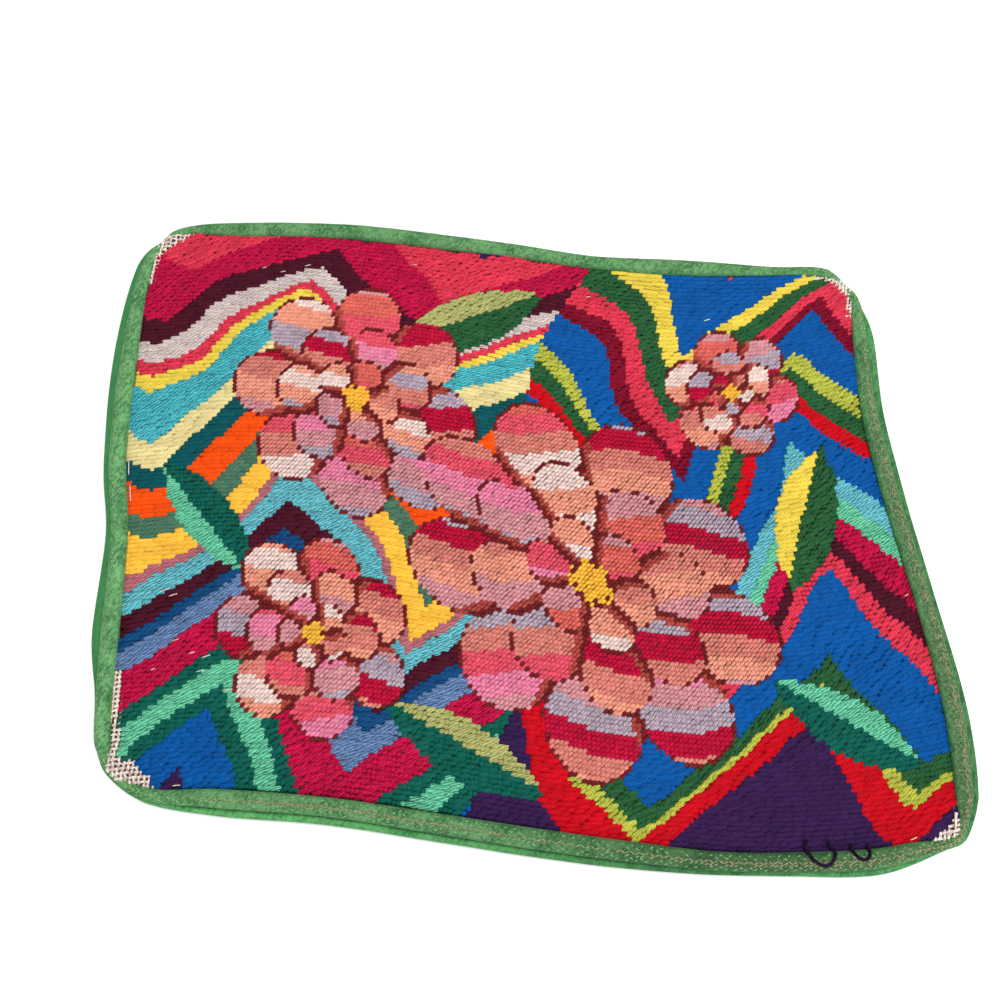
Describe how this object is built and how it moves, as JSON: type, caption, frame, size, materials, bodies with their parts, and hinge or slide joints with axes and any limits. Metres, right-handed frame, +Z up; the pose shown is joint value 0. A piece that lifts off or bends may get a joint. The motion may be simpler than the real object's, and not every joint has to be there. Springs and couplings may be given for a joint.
{
  "type": "needlepoint canvas panel",
  "caption": "Wool needlepoint canvas panel, pulled out of square, edged with a fat velvet piping and backed with velvet, lying flat with the stitched face up.",
  "frame": {"origin": "middle of the outline's box, on the surface that the panel lies on", "axes": "+X to the right along the long side and +Y to the far edge, as the stitched picture is seen, +Z up out of the stitched face"},
  "size_m": [0.5108, 0.407, 0.0143],
  "materials": {
    "stitched_wool": "matt wool stitches in many bright colours",
    "piping_velvet": "green velvet, worn to its ground along the crest",
    "back_velvet": "green velvet",
    "purple_wool": "matt dark purple wool"
  },
  "bodies": {
    "root": {"needlepoint_canvas": "stitched_wool", "velvet_piping": "piping_velvet", "velvet_back": "back_velvet", "wool_loop": "purple_wool"}
  },
  "joints": []
}
